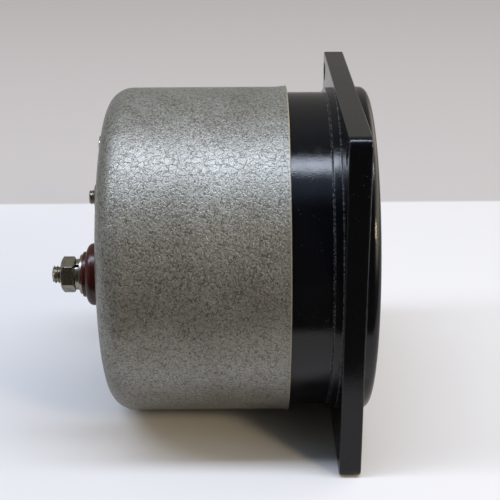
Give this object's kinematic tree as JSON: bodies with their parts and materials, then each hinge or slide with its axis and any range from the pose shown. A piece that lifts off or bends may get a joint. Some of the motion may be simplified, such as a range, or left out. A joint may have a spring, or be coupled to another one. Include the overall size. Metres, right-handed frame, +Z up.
{
  "type": "analog panel meter",
  "caption": "Moving-coil panel meter with a square black flange, round rim, grey steel can and stud terminals; the pointer swings over a dial behind glass.",
  "frame": {"origin": "on the meter's axis, in the plane of the flange's rear face", "axes": "-Y out of the dial, +Y along the terminals, +Z up the dial"},
  "size_m": [0.08, 0.0729, 0.08],
  "materials": {
    "phenolic_black": "glossy black phenolic with fine dust and light worn edges",
    "hammertone": "grey hammertone enamel with a mottled, pitted surface",
    "window": "clear flat glass",
    "seal": "dull black sealing compound",
    "dial_paint": "matt ivory enamel with black printing",
    "nickel": "dull nickel plating",
    "steel": "plain steel",
    "brass": "bare brass",
    "phenolic_brown": "red-brown moulded phenolic",
    "magnet_alloy": "ground cast magnet alloy",
    "aluminium": "bare aluminium sheet",
    "copper": "enamelled copper wire",
    "pointer_black": "matt black paint on aluminium",
    "spring_bronze": "phosphor bronze strip",
    "lead_red": "red insulating sleeve",
    "lead_black": "black insulating sleeve"
  },
  "bodies": {
    "meter": {"housing": "phenolic_black", "window_glass": "window", "glass_seal": "seal", "dial_plate": "dial_paint", "dial_screws": "steel", "dial_pillars": "brass", "pointer_stops": "pointer_black", "base_plate": "phenolic_brown", "base_screws": "steel", "magnet": "magnet_alloy", "pole_piece_left": "steel", "pole_piece_right": "steel", "pole_screws": "steel", "core": "steel", "core_bracket": "brass", "core_screws": "steel", "front_bridge": "brass", "rear_bridge": "brass", "bridge_screws": "steel", "front_jewel_screw": "brass", "rear_jewel_screw": "brass", "spring_anchor": "brass", "resistor_bobbin": "phenolic_brown", "resistor_winding": "copper", "resistor_screw": "steel", "can_pillars": "brass", "can": "hammertone", "can_screws": "nickel", "stud_left": "nickel", "stud_right": "nickel", "outer_bush_left": "phenolic_brown", "outer_bush_right": "phenolic_brown", "inner_bush_left": "phenolic_brown", "inner_bush_right": "phenolic_brown", "solder_tag_left": "nickel", "solder_tag_right": "nickel", "washer_left": "nickel", "washer_right": "nickel", "spring_washer": "nickel", "nut_left": "nickel", "nut_right": "nickel", "lead_left": "lead_red", "lead_right": "lead_black", "lead_link": "lead_black"},
    "coil": {"coil_former": "aluminium", "coil_winding": "copper", "front_shaft": "steel", "rear_shaft": "steel", "pointer": "pointer_black", "balance_weights": "brass", "front_hairspring": "spring_bronze", "rear_hairspring": "spring_bronze"},
    "zero_lever": {"zero_lever": "brass"},
    "corrector": {"corrector_screw": "phenolic_black"}
  },
  "joints": [
    {"name": "pointer_swing", "type": "hinge", "parent": "meter", "child": "coil", "pos_m": [0, 0, -0.014], "axis": [0, 1, 0], "range_deg": [-3, 93], "stiffness_Nm_per_rad": 0.0002, "deforming": ["front_hairspring", "rear_hairspring"]},
    {"name": "corrector_turn", "type": "hinge", "parent": "meter", "child": "corrector", "pos_m": [0, 0, -0.0255], "axis": [0, 1, 0], "range_deg": [-40, 40]},
    {"name": "zero_lever_turn", "type": "hinge", "parent": "meter", "child": "zero_lever", "pos_m": [0, 0, -0.014], "axis": [0, 1, 0], "range_deg": [-5.8, 5.8]}
  ],
  "couplings": [
    {"joint": "zero_lever_turn", "follows": "corrector_turn", "ratio": -0.14}
  ]
}
